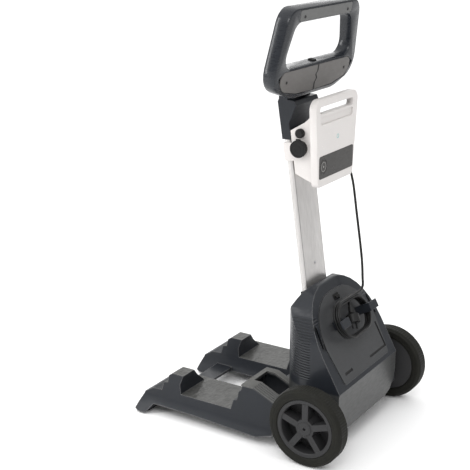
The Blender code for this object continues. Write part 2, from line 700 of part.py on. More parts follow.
def handle(shop):
    group = shop.pivot("handle_pivot", PIVOT)
    frame = handle_frame()
    step = math.radians(18)
    loop = shop.extruded("handle_loop", [rounded(LOOP_OUTER, step), rounded(LOOP_INNER, step)],
                         "XY", -LOOP_DEPTH, 0.0, frame, LOOP_ROUND)
    r = KNUCKLE_RADIUS
    knuckle = [(PIVOT.y - 0.030, PIVOT.z - 0.001), (PIVOT.y - 0.006, PIVOT.z - r, 0.008),
               (PIVOT.y + r, PIVOT.z - r, r * 0.97), (PIVOT.y + r, PIVOT.z + r, r * 0.97),
               (PIVOT.y - 0.030, PIVOT.z + 0.020)]
    shop.join(loop, shop.extruded("knuckle", [rounded(knuckle)], "YZ",
                                  -KNUCKLE_HALF, KNUCKLE_HALF))
    shop.cut(loop, shop.rod("knuckle_bore", PIN_RADIUS + RUN, -0.1, 0.1, "X", PIVOT))
    room = rounded([(x * 1.001, s) for x, s in
                    [(-0.1885, -0.014), (-0.1605, -0.0485), (-0.090, -0.0625), (0.090, -0.0625),
                     (0.1605, -0.0485), (0.1885, -0.014), (0.162, 0.0), (-0.162, 0.0)]])
    shop.cut(loop, shop.extruded("panel_seat", [room], "XY", -PANEL_SUNK - GAP, 0.02, frame))
    grip_low, grip_high = LOOP_INNER[2][1] + 0.005, LOOP_OUTER[4][1] - 0.006
    shop.cut(loop, shop.box("grip_seat", (-0.1305, grip_low - GAP, -PANEL_SUNK - GAP),
                            (0.1305, grip_high + GAP, 0.02), frame))
    button_n = -LOOP_DEPTH / 2
    button_s = LOOP_INNER[0][1]
    pocket = [(0.0, 0.02), (0.0115, 0.02), (0.0115, -0.008), (0.0, -0.008)]
    shop.cut(loop, shop.turned("button_pocket", pocket, "Y",
                               (0.0, button_s, button_n), 20, frame @ Matrix.Scale(-1, 4, (0, 1, 0))
                               @ Matrix.Translation((0, -2 * button_s, 0))))
    shop.piece(loop, PLASTIC, PIVOT, group)

    for label, side in (("left", -1), ("right", 1)):
        panel = shop.extruded(f"handle_panel_{label}", [panel_outline(side, 0.0)], "XY",
                              -PANEL_SUNK, -PANEL_SUNK + PANEL_THICK, frame)
        shop.piece(panel, PLASTIC_GREY, PIVOT, group)
    grip = shop.extruded("handle_grip", [rounded([
        (-0.130, grip_low, 0.004), (0.130, grip_low, 0.004), (0.130, grip_high, 0.004),
        (-0.130, grip_high, 0.004)])], "XY", -PANEL_SUNK, -PANEL_SUNK + PANEL_THICK, frame)
    shop.piece(grip, GRIP, PIVOT, group)
    top = -PANEL_SUNK + PANEL_THICK + GAP
    for label, x, s in SCREWS:
        screw = shop.rod(f"screw_{label}", 0.0034, 0.0, 0.0010, "Z", (x, s, top), 12, frame)
        shop.piece(screw, STEEL, PIVOT, group)
    cap = shop.box("fold_button", (-0.0075, button_s - 0.0040, button_n - 0.0075),
                   (0.0075, button_s + 0.0035, button_n + 0.0075), frame)
    shop.piece(cap, RUBBER, frame @ Vector((0, button_s, button_n)), group)


# ---------------------------------------------------------------- wheels
def wheels(shop):
    centre = Vector((0, 0, WHEEL_RADIUS))
    axle_half = TRACK_INNER + TYRE_WIDTH - 0.009
    axle = shop.rod("axle", AXLE_RADIUS, -axle_half, axle_half, "X", centre)
    shop.piece(axle, STEEL, centre)
    bore = AXLE_RADIUS + RUN + BUSH_WALL
    seat = WHEEL_RADIUS - TYRE_DEPTH
    face = TYRE_WIDTH - 0.0045
    for label, side in (("left", -1), ("right", 1)):
        at = centre + Vector((side * TRACK_INNER, 0, 0))
        group = shop.pivot(f"wheel_{label}_pivot", at)
        mirror = Matrix.Translation(at) @ Matrix.Scale(side, 4, (1, 0, 0))

        tyre = shop.turned(f"tyre_{label}", [
            (seat + GAP, 0.003), (seat + GAP, TYRE_WIDTH - 0.003), (seat + 0.004, TYRE_WIDTH),
            (WHEEL_RADIUS - 0.007, TYRE_WIDTH), (WHEEL_RADIUS, TYRE_WIDTH - 0.007),
            (WHEEL_RADIUS, 0.007), (WHEEL_RADIUS - 0.007, 0.0), (seat + 0.004, 0.0)],
            "X", (0, 0, 0), 48, mirror)
        shop.piece(tyre, RUBBER, at, group)

        hub = shop.turned(f"wheel_hub_{label}", [
            (bore, 0.002), (bore, face), (0.024, face), (0.026, 0.020), (0.032, 0.006),
            (seat - 0.010, 0.006), (seat - 0.010, face), (seat - 0.008, face + 0.002),
            (seat, face + 0.002), (seat, 0.004), (seat - 0.006, 0.002)],
            "X", (0, 0, 0), 40, mirror)
        for k in range(SPOKES):
            spoke = shop.box(f"spoke_{label}_{k}", (0.004, -0.008, 0.018),
                             (face, 0.008, seat - 0.004),
                             mirror @ Matrix.Rotation(2 * math.pi * k / SPOKES, 4, "X"))
            shop.join(hub, spoke)
        counterbore = [(0.0, face + 0.01), (0.0135, face + 0.01), (0.0135, face - HUB_RECESS),
                       (0.0, face - HUB_RECESS)]
        shop.cut(hub, shop.turned(f"hub_recess_{label}", counterbore, "X", (0, 0, 0), 24, mirror))
        shop.piece(hub, PLASTIC_GREY, at, group)

        bush = shop.turned(f"bush_{label}", [
            (AXLE_RADIUS + RUN, 0.002), (AXLE_RADIUS + RUN, face - HUB_RECESS - GAP),
            (bore - GAP, face - HUB_RECESS - GAP), (bore - GAP, 0.002)], "X", (0, 0, 0), 24, mirror)
        shop.piece(bush, WHITE, at, group)

        clip_at = face - HUB_RECESS + 0.0021
        clip = shop.turned(f"axle_clip_{label}", [
            (AXLE_RADIUS + GAP, clip_at - 0.0015), (AXLE_RADIUS + GAP, clip_at),
            (0.0115, clip_at), (0.0115, clip_at - 0.0015)], "X", (0, 0, 0), 20, mirror)
        shop.piece(clip, STEEL, at)

        cap = shop.turned(f"hub_cap_{label}", [
            (0.0035, face + 0.0003), (0.0035, face + 0.0025), (0.006, face + 0.0035),
            (0.0165, face + 0.0025), (0.0185, face + 0.0003)], "X", (0, 0, 0), 24, mirror)
        shop.piece(cap, PLASTIC_GREY, at, group)


# ---------------------------------------------------------------- power supply
def plate_outline(inset=0.0):
    low, high = PSU_BOTTOM + inset, PSU_TOP - inset
    half0, half1 = PSU_HALF_BOTTOM - inset, PSU_HALF_TOP - inset
    return rounded([(-half0, low, 0.012), (half0, low, 0.012), (half1, high, 0.024),
                    (-half1, high, 0.024)], math.radians(22.5))


def body_side(inset):
    """Side outline (y, z) of the rear shell, its back parallel to the mast."""
    def back(z):
        return z * math.tan(MAST_LEAN) - MAST_DEPTH / 2 / math.cos(MAST_LEAN) - 0.0125 - inset
    front = PSU_Y + PSU_PLATE + GAP
    if inset:
        front -= 0.05
    low, high = -0.0493, 0.0567
    return [(front, PSU_BOTTOM + 0.004 + inset), (-0.070, PSU_BOTTOM + 0.007 + inset),
            (back(low), low + inset), (back(high), high - inset),
            (-0.052, 0.0807 - inset * 1.1), (-0.067, 0.0947 - inset * 1.2),
            (front, PSU_SLOT_Z[0] - 0.003 - inset * 1.5)]


def power_supply(shop):
    place = mast_frame(MAST_LENGTH - BRACKET_DROP)
    group = shop.pivot("psu_mount", place.translation)
    shop.stand = Matrix.Translation(place.translation)
    (x0, x1), (z0, z1) = PSU_SLOT_X, PSU_SLOT_Z
    slot = rounded([(x0, z0, 0.006), (x1, z0, 0.006), (x1, z1, 0.006), (x0, z1, 0.006)])
    shell = shop.extruded("psu_front_shell", [plate_outline(), slot], "XZ",
                          PSU_Y, PSU_Y + PSU_PLATE, None, 0.0025)
    x0, x1, z0, z1 = x0 + 0.002, x1 - 0.002, z0 - 0.026, z0 - 0.006
    scoop = rounded([(x0, z0, 0.008), (x1, z0, 0.008), (x1, z1, 0.003), (x0, z1, 0.003)])
    shop.cut(shell, shop.extruded("scoop", [scoop], "XZ", PSU_Y - 0.01, PSU_Y + 0.004))
    x, z = PSU_BODY_HALF - PSU_WALL, PSU_BOTTOM + 0.012
    shop.cut(shell, shop.box("front_cavity", (-x, PSU_Y + PSU_FACE, z),
                             (x, PSU_Y + 0.05, z0 - 0.006)))
    low, high = PSU_PANEL_Z
    half = PSU_HALF_BOTTOM - 0.003
    panel_corners = [(-half, low, 0.006), (half, low, 0.006), (half + 0.001, high, 0.006),
                     (-half - 0.001, high, 0.006)]
    shop.cut(shell, shop.extruded("panel_recess", [rounded([
        (u * 1.004, v + math.copysign(GAP, v - (low + high) / 2), r)
        for u, v, r in panel_corners])],
        "XZ", PSU_Y - 0.01, PSU_Y + 0.0018))
    bx, bz = BUTTON_AT
    shop.cut(shell, shop.rod("button_well", BUTTON_RADIUS + 2 * GAP, -0.02, 0.0042, "Y",
                             (bx, PSU_Y, bz), 32))
    shop.cut(shell, shop.rod("stem_bore", 0.0045, -0.02, 0.03, "Y", (bx, PSU_Y, bz), 16))
    shop.piece(shell, WHITE, (0, PSU_Y + PSU_PLATE, 0), group)

    front = PSU_Y + 0.0018 - GAP
    panel = shop.extruded("psu_panel", [rounded(panel_corners),
                                        circle(bx, bz, BUTTON_RADIUS + 2 * GAP, 32)],
                          "XZ", front - 0.0018, front)
    shop.piece(panel, PANEL, (0, PSU_Y, (low + high) / 2), group)

    button = shop.turned("power_button", [
        (0.0, -0.0022), (BUTTON_RADIUS - 0.001, -0.0022), (BUTTON_RADIUS, -0.0015),
        (BUTTON_RADIUS, 0.0010), (0.0040, 0.0010), (0.0040, 0.0060), (0.0, 0.0060)],
        "Y", (bx, PSU_Y + 0.0017, bz), 32)
    shop.piece(button, PANEL, (bx, PSU_Y, bz), group)

    rear = shop.extruded("psu_rear_shell", [body_side(0.0)], "YZ", -PSU_BODY_HALF, PSU_BODY_HALF)
    inner = PSU_BODY_HALF - PSU_WALL
    shop.cut(rear, shop.extruded("rear_cavity", [body_side(PSU_WALL)], "YZ", -inner, inner))
    sy, sz = SOCKET_AT
    shop.cut(rear, shop.rod("socket_bore", 0.0135, -0.02, 0.02, "X",
                            (-PSU_BODY_HALF, sy, sz), 24))
    gy, gz = GLAND_AT
    shop.cut(rear, shop.rod("gland_bore", 0.0062, -0.02, 0.02, "X", (PSU_BODY_HALF, gy, gz), 16))
    shop.piece(rear, WHITE, (0, PSU_Y + PSU_PLATE, 0), group)

    y0 = PSU_Y + 0.0125
    y1 = y0 + 0.0016
    board = shop.box("circuit_board", (-0.055, y0, -0.0503), (0.055, y1, 0.0597))
    shop.piece(board, BOARD, (0, y0, 0), group)
    coil = shop.box("transformer", (-0.028, y1 + GAP, -0.0353), (0.028, y1 + 0.034, 0.0147))
    shop.piece(coil, COPPER, (0, y1, 0), group)

    face = -PSU_BODY_HALF
    socket = shop.turned("psu_socket", [
        (0.0105, 0.001), (0.0105, 0.0105), (SOCKET_RADIUS, 0.0105), (SOCKET_RADIUS, GAP),
        (0.0132, GAP), (0.0132, -0.0025), (0.0118, -0.0025), (0.0118, 0.001)],
        "X", (0, 0, 0), 24, Matrix.Translation((face, sy, sz)) @ Matrix.Scale(-1, 4, (1, 0, 0)))
    shop.piece(socket, PANEL, (face, sy, sz), group)
    outer = face - 0.0105
    hinge_z = sz + SOCKET_RADIUS + 0.0035
    cap = shop.rod("socket_cap", 0.0218, 0.0, 0.0055, "X", (outer - GAP - 0.0055, sy, sz), 28)
    tongue = shop.box("cap_tongue", (outer - GAP - 0.0045, sy - 0.006, sz + 0.010),
                      (outer - GAP - 0.001, sy + 0.006, hinge_z + 0.002))
    shop.join(cap, tongue)
    shop.piece(cap, RUBBER, (outer - GAP - 0.003, sy, hinge_z + 0.002), group)
    boss = shop.turned("cap_boss", [(0.0, 0.0), (0.0115, 0.0), (0.0115, 0.010), (0.009, 0.013),
                                    (0.0, 0.013)], "X", (0, 0, 0), 20,
                       Matrix.Translation((face - GAP, sy, hinge_z + 0.0145))
                       @ Matrix.Scale(-1, 4, (1, 0, 0)))
    shop.piece(boss, RUBBER, (face, sy, hinge_z + 0.0145), group)

    gland = shop.turned("cord_gland", [
        (0.0, -0.0035), (0.0058, -0.0035), (0.0058, GAP), (0.0095, GAP), (0.0095, 0.005),
        (0.0070, 0.006), (0.0052, 0.0160), (0.0, 0.0160)],
        "X", (PSU_BODY_HALF, gy, gz), 20)
    shop.piece(gland, CORD, (PSU_BODY_HALF, gy, gz), group)

    shop.stand = Matrix.Identity(4)
    side = MAST_WIDTH / 2 + BRACKET_WALL
    deep = MAST_DEPTH / 2
    outer = rounded([(-side, -deep - 0.0118, 0.003), (side, -deep - 0.0118, 0.003),
                     (side, deep + BRACKET_WALL, 0.004), (-side, deep + BRACKET_WALL, 0.004)])
    bracket = shop.extruded("psu_bracket", [outer, mast_outline(GAP)], "XY",
                            -BRACKET_HEIGHT / 2, BRACKET_HEIGHT / 2, place)
    shop.cut(bracket, shop.rod("knob_bore", 0.0040 + RUN, 0.0, 0.05, "Y",
                               (0, 0, 0), 16, place))
    shop.piece(bracket, PLASTIC_GREY, place.translation)
    knob_at = deep + BRACKET_WALL
    knob = shop.turned("bracket_knob", [
        (0.0, knob_at + 0.016), (KNOB_RADIUS - 0.002, knob_at + 0.016),
        (KNOB_RADIUS, knob_at + 0.013), (KNOB_RADIUS, knob_at + 0.0005),
        (0.0040, knob_at + 0.0005), (0.0040, deep + 2 * GAP), (0.0, deep + 2 * GAP)],
        "Y", (0, 0, 0), 24, place)
    shop.piece(knob, PLASTIC, place @ Vector((0, knob_at, 0)))


# ---------------------------------------------------------------- cord
CORD_ROUTE = [
    (0.0864, 0.105, 0.742), (0.101, 0.105, 0.742), (0.1125, 0.104, 0.734), (0.1185, 0.101, 0.716),
    (0.1190, 0.092, 0.690), (0.1188, 0.083, 0.660),
    (0.1185, 0.071, 0.615), (0.121, 0.061, 0.545), (0.124, 0.051, 0.475), (0.119, 0.040, 0.418),
    (0.101, 0.028, 0.382), (0.078, 0.017, 0.357)]


def smooth_route(points, spacing):
    """Points at an even spacing on a Catmull-Rom curve through the given ones."""
    points = [Vector(p) for p in points]
    ends = [points[0] * 2 - points[1], *points, points[-1] * 2 - points[-2]]
    dense = []
    for a, b, c, d in zip(ends, ends[1:], ends[2:], ends[3:]):
        for k in range(20):
            t = k / 20
            dense.append(0.5 * (2 * b + (c - a) * t + (2 * a - 5 * b + 4 * c - d) * t * t
                                + (3 * b - a - 3 * c + d) * t ** 3))
    dense.append(points[-1])
    length = sum((q - p).length for p, q in zip(dense, dense[1:]))
    count = round(length / spacing)
    route, walked, target = [dense[0]], 0.0, length / count
    for p, q in zip(dense, dense[1:]):
        step = (q - p).length
        while walked + step >= target and len(route) < count:
            route.append(p.lerp(q, (target - walked) / step))
            target += length / count
        walked += step
    return route + [dense[-1]]


def stadium(half_length, half_height):
    return rounded([(-half_length, -half_height, half_height * 0.999),
                    (half_length, -half_height, half_height * 0.999),
                    (half_length, half_height, half_height * 0.999),
                    (-half_length, half_height, half_height * 0.999)], math.radians(22.5))


def cord(shop):
    lead = shop.tube("cord_lead", smooth_route(CORD_ROUTE, 0.015), CORD_RADIUS)
    shop.piece(lead, CORD)
    frame = rear_frame() @ Matrix.Translation((0, up_slope(COIL_Z), 0))
    outer = stadium(COIL_HALF_LENGTH, COIL_HALF_HEIGHT)
    inner = stadium(COIL_HALF_LENGTH - COIL_BAND, COIL_HALF_HEIGHT - COIL_BAND)
    coil = shop.extruded("cord_coil", [outer, inner], "XY", COIL_OFF, COIL_OFF + COIL_DEPTH,
                         frame, 0.005)
    shop.piece(coil, CORD)
    lying = frame @ Matrix.Translation(PLUG_AT) @ Matrix.Rotation(PLUG_TURN, 4, "Z")
    body = shop.turned("mains_plug", [
        (0.0, -0.022), (0.006, -0.022), (0.008, -0.006), (0.0175, 0.0), (0.0175, 0.020),
        (0.0, 0.020)], "X", (0, 0, 0), 20, lying)
    for side in (-1, 1):
        pin = shop.rod(f"plug_pin_{side}", 0.0024, 0.0155, 0.036, "X",
                       (0, side * 0.0093, 0.0002), 12, lying)
        shop.join(body, pin)
    shop.piece(body, CORD)


def main():
    clear_scene()
    shop = Shop()
    shop.root.location = (0.0, -(TOE_REACH - WHEEL_RADIUS) / 2, 0.0)
    deck(shop)
    hood(shop)
    mast(shop)
    neck(shop)
    handle(shop)
    wheels(shop)
    power_supply(shop)
    cord(shop)
    bpy.context.view_layer.update()


main()
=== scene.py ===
"""Looks, cord, light and camera of the pool-robot caddy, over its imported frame."""

import json
import math

import bmesh
import bpy
from mathutils import Matrix, Vector

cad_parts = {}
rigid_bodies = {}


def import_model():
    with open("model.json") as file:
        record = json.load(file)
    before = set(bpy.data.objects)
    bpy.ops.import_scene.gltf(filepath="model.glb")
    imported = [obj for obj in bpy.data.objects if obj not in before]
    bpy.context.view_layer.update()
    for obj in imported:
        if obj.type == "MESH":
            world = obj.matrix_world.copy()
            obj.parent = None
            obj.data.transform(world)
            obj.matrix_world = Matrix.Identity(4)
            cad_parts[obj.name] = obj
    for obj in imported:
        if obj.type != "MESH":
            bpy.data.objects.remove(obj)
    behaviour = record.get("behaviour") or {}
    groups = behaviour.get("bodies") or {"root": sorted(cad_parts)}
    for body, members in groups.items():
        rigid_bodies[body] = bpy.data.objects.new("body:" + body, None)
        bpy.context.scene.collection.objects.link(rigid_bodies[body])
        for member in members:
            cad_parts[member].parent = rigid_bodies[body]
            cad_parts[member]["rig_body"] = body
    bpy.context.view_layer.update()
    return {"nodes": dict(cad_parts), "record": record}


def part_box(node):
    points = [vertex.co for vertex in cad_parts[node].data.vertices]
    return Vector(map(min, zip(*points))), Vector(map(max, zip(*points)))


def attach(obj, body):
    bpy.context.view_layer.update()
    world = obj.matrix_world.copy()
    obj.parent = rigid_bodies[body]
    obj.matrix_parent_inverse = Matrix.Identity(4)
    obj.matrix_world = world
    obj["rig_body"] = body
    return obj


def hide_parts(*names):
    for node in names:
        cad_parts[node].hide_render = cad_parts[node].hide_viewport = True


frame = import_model()

NODES = frame["nodes"]
SLOT_OF = {part["node"]: part["material_slot"] for part in frame["record"]["subparts"]}

# ---------------------------------------------------------------- camera and light
EYE = Vector((-2.368, -1.354, 1.335))
LOOK = (math.radians(72.73), 0.0, math.radians(-57.72))
LENS = 84.5                    # mm, on a sensor 36 mm wide
SENSOR = 36.0
FAR_CLIP = 200.0
SKY_LOW, SKY_HIGH = 0.30, 1.45   # light from the horizon and from overhead
SKY_FROM, SKY_TO = 0.05, 0.75    # the directions' heights between which it changes
BACKDROP = 1.05
FLOOR_REACH = 40.0
FLOOR_DROP = 0.0004            # the floor lies this far under the wheels
FLOOR_PALE = (0.97, 0.97, 0.97)
LIGHTS = (                     # name, place, aim, size and power
    ("key", (-2.6, -1.2, 3.0), (0, 0, 0.40), (1.2, 1.2), 26),
    ("rim", (2.6, 1.5, 1.5), (0, 0, 0.45), (1.8, 0.8), 8),
    ("strip", (-1.6, 1.4, 1.4), (0, 0, 0.60), (0.3, 2.0), 22),
)

# ---------------------------------------------------------------- places and sizes
ROW_Y = -0.215                 # the axle stands here, and the routes are measured from it
AXLE_UP = 0.100
REAR_AT = Vector((0.0, 0.0425 + ROW_Y, 0.33))
REAR_TILT = math.pi / 2 - math.atan(0.55)
COVER_FACE = 0.0018            # the cover's outer face, out of REAR_AT's plane
HANDLE_LEAN = math.radians(9.8)

CORD_THICK = 0.0065
COIL_CENTRE = -0.0388          # up the hood's rear face, from REAR_AT
COIL_REACH = 0.080             # half the coil's length, to the cord's middle
COIL_RISE = 0.0480
COIL_TURNS = 6
COIL_STEPS = 24                # points in one turn
COIL_FACE = (0.0326, 0.0133)   # first and last turn, out of the face
COIL_LANE = 0.0060
COIL_SLACK = 0.0009            # how loosely the turns lie, across the face and out of it
COIL_WOBBLE = 0.0007
PLUG_TAIL = ((0.030, 0.0405, 0.0150), (0.0175, 0.0355, 0.0185), (0.0085, 0.0275, 0.0225),
             (0.0047, 0.0220, 0.0245))
LEAD = ((0.0864, 0.105, 0.742), (0.101, 0.105, 0.742), (0.1125, 0.104, 0.734),
        (0.1185, 0.101, 0.716), (0.1190, 0.092, 0.690), (0.1188, 0.083, 0.660),
        (0.1185, 0.071, 0.615), (0.121, 0.061, 0.545), (0.124, 0.051, 0.475),
        (0.119, 0.040, 0.418), (0.101, 0.028, 0.382), (0.078, 0.017, 0.357))

# limits of the painted areas: X counts from the middle to either side
DECK_TOP_UP, DECK_TOP_ALONG = (0.0705, 0.15), (0.018, 0.235)
CAP_RIB_AT, CAP_RIB_PITCH = 0.178, 0.0085   # first groove of a lug cap from the middle
CAP_RIB_END = 0.30
CAP_SLOPE_ALONG = (-0.046, -0.043)
BAND_ACROSS, BAND_ALONG, BAND_UP = (0.120, 0.2), (-0.178, -0.118), (0.185, 0.335)
BAND_PITCH = 0.0068
BOOT_UP = (0.0, 0.163)
VENT_ACROSS, VENT_ALONG, VENT_UP = (0.1365, 0.1515), (-0.40, -0.178), (0.262, 0.322)
MAST_LINE_ACROSS = (0.0510, 0.0524)
TYRE_SIDE, TYRE_TREAD = (0.094, 0.096), (0.0965, 0.0985)   # radii
TYRE_GROOVE_PITCH = 0.0058
TYRE_LUGS = 90
EDGE_HIGHLIGHT_REACH, EDGE_HIGHLIGHT_SHARE = 0.0030, 0.8   # how far from a sharp edge the painted highlight reaches

SEAM_FROM = -0.006             # the panels' shared edge lies to the right of this
SEAM_WIDTH = 0.0060
SEAM_RISE = 0.0002
BUTTON_RING, BUTTON_DOT = (0.0108, 0.0118), 0.0022
PRINT_RISE = 0.00025
MARK_RING = (0.0042, 0.0054)
MARK_ACROSS, MARK_UP = 0.004, 0.113
CAP_MIDDLE_UP = 0.0218
CAP_RIMS = (0.0175, 0.0085)
CAP_RIM_WIDTH, CAP_RIM_RISE = 0.0012, 0.0006

# ---------------------------------------------------------------- colours
CHARCOAL = (0.014, 0.016, 0.020)
DECK_GREY = (0.074, 0.074, 0.070)
EDGE_HIGHLIGHT_GREY = (0.16, 0.16, 0.16)
COVER_GREY = (0.042, 0.043, 0.045)
BOOT_BOUNCE_LIGHT = (0.050, 0.051, 0.050)
PANEL_GREY = (0.128, 0.122, 0.117)
GRIP_GREY = (0.122, 0.123, 0.121)
HUB_GREY = (0.026, 0.026, 0.027)
TYRE_BLACK = (0.009, 0.009, 0.007)
RUBBER_BLACK = (0.007, 0.007, 0.007)
SCREW_BLACK = (0.004, 0.004, 0.004)
SILVER = (0.54, 0.525, 0.515)
ZINC = (0.45, 0.45, 0.46)
WHITE = (0.62, 0.595, 0.58)
PANEL_BROWN = (0.022, 0.020, 0.018)
PRINT_GREY = (0.30, 0.29, 0.28)
MARK_TEAL = (0.10, 0.42, 0.42)
BOARD_GREEN, TRACK_GOLD = (0.02, 0.13, 0.06), (0.35, 0.27, 0.08)
COPPER_DARK, COPPER_PAINTED_HIGHLIGHT = (0.26, 0.12, 0.05), (0.45, 0.24, 0.10)

# ---------------------------------------------------------------- what each node takes
PAINT_OF_SLOT = {
    "charcoal_plastic": "charcoal", "grey_plastic": "hub", "grip_plastic": "grip",
    "rubber": "rubber", "tyre": "tyre", "aluminium": "aluminium", "steel": "steel",
    "white_plastic": "white", "panel_dark": "panel", "circuit_board": "board",
    "transformer": "winding", "cord_rubber": "cord",
}
# nodes whose slot alone doesn't say which paint
PAINT_OF_NODE = {
    "deck_base": "deck", "hood_shell": "hood", "rear_cover": "cover", "handle_loop": "handle",
    "lug_cap_left": "cap", "lug_cap_right": "cap", "handle_panel_left": "panel_grey",
    "handle_panel_right": "panel_grey", "psu_bracket": "white", "screw_grip_left": "screw",
    "screw_grip_right": "screw", "screw_panel_left": "screw", "screw_panel_right": "screw",
}
# how far the edges of a node are rounded; the others stay as the frame has them
ROUND = {
    "deck_base": 0.0030, "hood_shell": 0.0020, "rear_cover": 0.0010, "handle_loop": 0.0010,
    "lug_cap_left": 0.0008, "lug_cap_right": 0.0008, "handle_panel_left": 0.0008,
    "handle_panel_right": 0.0008, "handle_grip": 0.0008, "handle_neck": 0.0015, "mast": 0.0006,
    "psu_front_shell": 0.0010, "psu_rear_shell": 0.0025, "psu_panel": 0.0004,
    "power_button": 0.0004, "socket_cap": 0.0012, "cap_boss": 0.0008, "psu_bracket": 0.0010,
    "cord_hook_left": 0.0012, "cord_hook_right": 0.0012, "wheel_hub_left": 0.0008,
    "wheel_hub_right": 0.0008, "tyre_left": 0.0016, "tyre_right": 0.0016, "mains_plug": 0.0008,
    "cover_latch": 0.0006, "hub_cap_left": 0.0006, "hub_cap_right": 0.0006, "cord_gland": 0.0005,
    "bracket_knob": 0.0010, "psu_socket": 0.0006, "foot_pad_left": 0.0006,
    "foot_pad_right": 0.0006, "mast_clip_left": 0.0006, "mast_clip_right": 0.0006,
    "fold_button": 0.0008,
}
SMOOTH_BELOW = math.radians(32)
FLAT_BELOW = math.radians(0.6)   # faces nearer to one plane than this are joined
WELD = 0.00001


# ---------------------------------------------------------------- camera, light, floor
def make_camera():
    data = bpy.data.cameras.new("camera")
    data.lens = LENS
    data.sensor_width = SENSOR
    data.clip_end = FAR_CLIP
    camera = bpy.data.objects.new("camera", data)
    bpy.context.scene.collection.objects.link(camera)
    camera.location = EYE
    camera.rotation_euler = LOOK
    bpy.context.scene.camera = camera


def area_light(name, place, aim, size, power):
    data = bpy.data.lights.new(name, "AREA")
    data.shape = "RECTANGLE"
    data.size, data.size_y = size
    data.energy = power
    light = bpy.data.objects.new(name, data)
    bpy.context.scene.collection.objects.link(light)
    light.location = place
    way = Vector(aim) - Vector(place)
    light.rotation_euler = way.to_track_quat("-Z", "Y").to_euler()


def make_sky():
    """Brighter overhead than at the horizon, and plain white where the camera sees it."""
    world = bpy.data.worlds.new("studio")
    bpy.context.scene.world = world
    world.use_nodes = True
    tree = world.node_tree
    sky = tree.nodes["Background"]
    sky.inputs["Color"].default_value = (1.0, 1.0, 1.0, 1.0)
    way = tree.nodes.new("ShaderNodeTexCoord")
    apart = tree.nodes.new("ShaderNodeSeparateXYZ")
    tree.links.new(way.outputs["Generated"], apart.inputs[0])
    dome = tree.nodes.new("ShaderNodeMapRange")
    limits = {"From Min": SKY_FROM, "From Max": SKY_TO, "To Min": SKY_LOW, "To Max": SKY_HIGH}
    for name, number in limits.items():
        dome.inputs[name].default_value = number
    tree.links.new(apart.outputs["Z"], dome.inputs["Value"])
    seen = tree.nodes.new("ShaderNodeLightPath")
    choice = tree.nodes.new("ShaderNodeMix")
    tree.links.new(seen.outputs["Is Camera Ray"], choice.inputs["Factor"])
    tree.links.new(dome.outputs["Result"], choice.inputs["A"])
    choice.inputs["B"].default_value = BACKDROP
    tree.links.new(choice.outputs["Result"], sky.inputs["Strength"])


def make_floor():
    mesh = bpy.data.meshes.new("floor")
    work = bmesh.new()
    bmesh.ops.create_grid(work, x_segments=2, y_segments=2, size=FLOOR_REACH)
    work.to_mesh(mesh)
    work.free()
    floor = bpy.data.objects.new("floor", mesh)
    floor.location.z = -FLOOR_DROP
    bpy.context.scene.collection.objects.link(floor)
    pale = bpy.data.materials.new("floor_pale")
    pale.use_nodes = True
    shader = pale.node_tree.nodes["Principled BSDF"]
    shader.inputs["Base Color"].default_value = (*FLOOR_PALE, 1.0)
    shader.inputs["Roughness"].default_value = 0.9
    shader.inputs["Specular IOR Level"].default_value = 0.1
    mesh.materials.append(pale)


